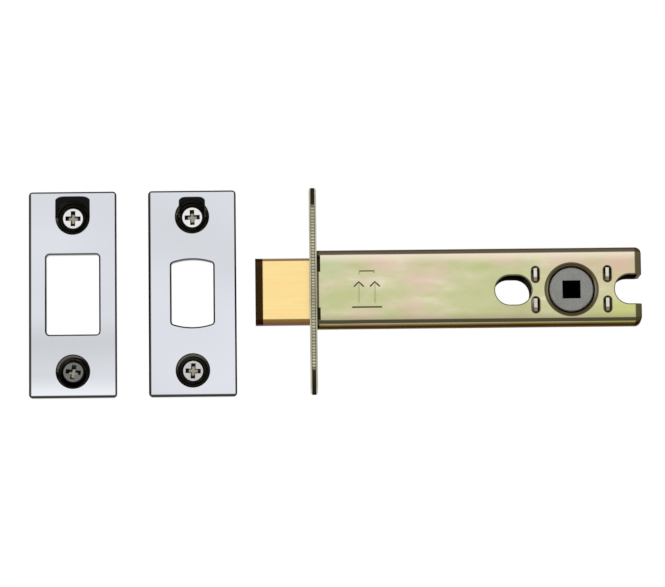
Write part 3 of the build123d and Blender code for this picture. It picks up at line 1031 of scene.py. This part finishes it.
def dress_object():
    """Finishes on every CAD node, and the detailed pieces that replace some of them."""
    zinc = yellow_zinc()
    steel = inner_steel()
    bridges = bridge_steel()
    screws = screw_steel()
    cover = polished_plate("cover_polish", "cover_plate", *COVER_PATCH, painted_reflection_share=0.0)
    strike = polished_plate("strike_polish", "strike_plate", *STRIKE_PATCH, painted_reflection_share=1.0)
    finishes = {
        "forend": ("forend_steel", sheared_steel()),
        "case_near_half": ("yellow_zinc", zinc),
        "case_far_half": ("yellow_zinc", zinc),
        "bolt": ("bolt_brass", brushed_brass()),
        "bolt_tail": ("inner_steel", steel),
        "tail_rivets": ("inner_steel", steel),
        "hub": ("hub_casting", grey_casting()),
        "front_bridge": ("inner_steel", bridges),
        "rear_bridge": ("inner_steel", bridges),
        "detent_spring": ("spring_steel", spring_steel()),
        "cover_plate": ("bright_plate", cover),
        "cover_screws": ("screw_steel", screws),
        "strike_plate": ("bright_plate", strike),
        "strike_screws": ("screw_steel", screws),
    }
    for node, (slot, material) in finishes.items():
        dress(NODES[node], slot, material)
    dress(stamped_case(), "yellow_zinc", zinc)
    for node, seats in SCREW_SEATS.items():
        dress(screw_pair(node, seats), "screw_steel", screws, recess_steel())


# Studio: windows of light as azimuth limits, elevation limits and strength. Azimuth is 0 ahead of the
# near side and 180 behind. Limits are degrees where the light starts, is full, and ends again, and two
# equal ones leave that side open. The windows light dull surfaces. What is seen, mirrored or looked
# through is white instead.
WINDOWS = [
    ((-1, -1, 20, 27), (-6.2, -3.2, 24, 33), 1.0),
    ((32, 38, 58, 64), (-48, -40, 40, 48), 0.75),
    ((116, 122, 160, 167), (-48, -40, 58, 66), 0.65),
    ((160, 167, 181, 181), (34, 42, 58, 66), 0.65),
    ((160, 167, 181, 181), (5, 9, 34, 42), 0.22),
    ((160, 167, 181, 181), (-48, -44, -9, -5), 0.42),
    ((72, 78, 102, 108), (-40, -32, 32, 40), 0.3),
    ((-1, -1, 35, 45), (-80, -72, -4, 0), 0.6),
    ((-1, -1, 150, 165), (-48, -40, 26, 33), 0.35),
    ((100, 110, 181, 181), (-77, -72, -44, -38), 0.9),
    ((-1, -1, 181, 181), (64, 76, 91, 91), 0.12),
]
GLOOM = 0.04
WHITE_RAYS = ["Is Transmission Ray", "Is Glossy Ray"]


def window_light(nodes):
    """Strength of the brightest window in each direction, or the gloom between them."""
    direction = nodes.add("ShaderNodeTexCoord").outputs["Generated"]
    parts = nodes.add("ShaderNodeSeparateXYZ", {"Vector": direction})
    x, y, z = (parts.outputs[axis] for axis in "XYZ")
    turn = nodes.math("ARCTAN2", nodes.math("ABSOLUTE", x), nodes.times(y, -1.0))
    azimuth = nodes.math("DEGREES", turn)
    elevation = nodes.math("DEGREES", nodes.math("ARCSINE", z))
    light = GLOOM
    for across, up, strength in WINDOWS:
        glow = strength
        for angle, (start, full, full_end, end) in ((azimuth, across), (elevation, up)):
            if full > start:
                glow = nodes.times(nodes.between(angle, start, full), glow)
            if end > full_end:
                glow = nodes.times(nodes.between(angle, full_end, end, 1.0, 0.0), glow)
        light = nodes.math("MAXIMUM", glow, light)
    return light


def make_world():
    """White to the camera, to mirrors and through glass, and a dim studio with windows to all other rays."""
    world = bpy.data.worlds.new("studio")
    world.use_nodes = True
    bpy.context.scene.world = world
    nodes = Nodes(world.node_tree)
    studio = world.node_tree.nodes["Background"]
    nodes.feed(studio.inputs["Color"], window_light(nodes))
    white = nodes.add("ShaderNodeBackground", {"Color": (1, 1, 1, 1)})
    path = nodes.add("ShaderNodeLightPath")
    seen = path.outputs["Is Camera Ray"]
    for ray in WHITE_RAYS:
        seen = nodes.math("MAXIMUM", seen, path.outputs[ray])
    mix = nodes.add("ShaderNodeMixShader", {0: seen, 1: studio.outputs[0], 2: white.outputs[0]})
    nodes.feed(world.node_tree.nodes["World Output"].inputs["Surface"], mix.outputs[0])


def stage_rectangle(name, width, height, place):
    """Flat stage piece with its middle and facing given by a matrix."""
    bm = bmesh.new()
    signs = [(-1, -1), (1, -1), (1, 1), (-1, 1)]
    bm.faces.new([bm.verts.new((right * width / 2, up * height / 2, 0)) for right, up in signs])
    piece = mesh_object(name, bm)
    piece.matrix_world = place
    piece.visible_glossy = False
    piece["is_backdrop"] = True
    return piece


# Floor: its size and height in metres, and the light that it adds for the camera
FLOOR_SIZE = 8
FLOOR_Z = -0.14
FLOOR_LIFT = 0.35


def make_floor():
    """Plain pale floor below the camera's view, a little brighter to the camera than its light makes it."""
    floor = stage_rectangle("floor", FLOOR_SIZE, FLOOR_SIZE, Matrix.Translation((0, 0, FLOOR_Z)))
    pale = Finish("floor", metallic=0.0)
    pale.colour((0.86, 0.86, 0.86, 1))
    pale.set("Roughness", 1.0)
    pale.set("Specular IOR Level", 0.0)
    seen = pale.add("ShaderNodeLightPath").outputs["Is Camera Ray"]
    lift = pale.add("ShaderNodeEmission", {"Strength": pale.times(seen, FLOOR_LIFT)})
    both = pale.add("ShaderNodeAddShader", {0: pale.shader.outputs[0], 1: lift.outputs[0]})
    pale.surface(both.outputs[0])
    floor.data.materials.append(pale.material)


# Black cards that stand in for the shade behind openings: place from the hub's axis, width and height,
# and their gap behind the case, in millimetres
SHADE_CARDS = [((0, 0), 7, 7), ((-10.3, 4.37), 2.4, 4.8)]
SHADE_CARD_GAP = 0.2


def make_cards():
    """Black cards standing in for shade behind the spindle hole and a tab slot, seen only from the front."""
    black = Finish("card", metallic=0.0)
    black.colour((0.004, 0.004, 0.003, 1))
    black.set("Specular IOR Level", 0.0)
    behind = black.add("ShaderNodeNewGeometry").outputs["Backfacing"]
    clear = black.add("ShaderNodeBsdfTransparent")
    mix = black.add("ShaderNodeMixShader", {0: behind, 1: black.shader.outputs[0], 2: clear.outputs[0]})
    black.surface(mix.outputs[0])
    card_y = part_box("case_far_half")[1].y + SHADE_CARD_GAP * MM
    upright = Matrix.Rotation(math.pi / 2, 4, "X")
    for (x, z), width, height in SHADE_CARDS:
        place = Matrix.Translation(((HUB.x + x) * MM, card_y, (HUB.z + z) * MM))
        card = stage_rectangle("card", width * MM, height * MM, place @ upright)
        card.data.materials.append(black.material)
        card.visible_shadow = False


# Lamp: watts, and metres for its size and place
LAMP_POWER = 9
LAMP_SIZE = 0.9
LAMP_PLACE = (-0.25, -0.8, 0.6)


def make_lamp():
    """Large soft lamp in front and above, for what isn't metal."""
    light = bpy.data.lights.new("key", "AREA")
    light.energy = LAMP_POWER
    light.size = LAMP_SIZE
    lamp = add_object("key", light)
    place = Vector(LAMP_PLACE)
    lamp.matrix_world = Matrix.Translation(place) @ place.to_track_quat("Z", "Y").to_matrix().to_4x4()
    lamp.visible_glossy = False


# Camera: a long lens a little below the object. Angles are in degrees, its distance, target and sensor
# in millimetres, and its focal length in pixels of a picture as wide as the photograph.
CAMERA_DISTANCE = 1000
CAMERA_YAW = 0.322
CAMERA_PITCH = 6.726
CAMERA_ROLL = -0.649
CAMERA_TARGET = (6.577, 0, -0.535)
SENSOR_WIDTH = 36
FOCAL_PIXELS = 3471.9
PICTURE_WIDTH = 665


def make_camera():
    """Camera at the photograph's viewing angle."""
    yaw, pitch, roll = (math.radians(angle) for angle in (CAMERA_YAW, CAMERA_PITCH, CAMERA_ROLL))
    ahead = Vector((math.sin(yaw) * math.cos(pitch), math.cos(yaw) * math.cos(pitch), math.sin(pitch)))
    level = Vector((math.cos(yaw), -math.sin(yaw), 0))
    upright = level.cross(ahead)
    right = math.cos(roll) * level + math.sin(roll) * upright
    up = -math.sin(roll) * level + math.cos(roll) * upright
    lens = bpy.data.cameras.new("camera")
    lens.sensor_fit = "HORIZONTAL"
    lens.sensor_width = SENSOR_WIDTH
    lens.lens = FOCAL_PIXELS / PICTURE_WIDTH * SENSOR_WIDTH
    camera = add_object("camera", lens)
    place = Matrix((right, up, -ahead)).transposed().to_4x4()
    place.translation = (Vector(CAMERA_TARGET) - ahead * CAMERA_DISTANCE) * MM
    camera.matrix_world = place
    bpy.context.scene.camera = camera


def write_sizes():
    """Puts the CAD box and the dressed model's box side by side as plain numbers, which are not written out.
    """
    boxes = {"cad": cad_box, "visual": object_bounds()}
    plain = {name: [[float(v) for v in corner] for corner in box] for name, box in boxes.items()}


dress_object()
make_world()
make_floor()
make_cards()
make_lamp()
make_camera()
bpy.context.scene.view_settings.view_transform = "Standard"
write_sizes()
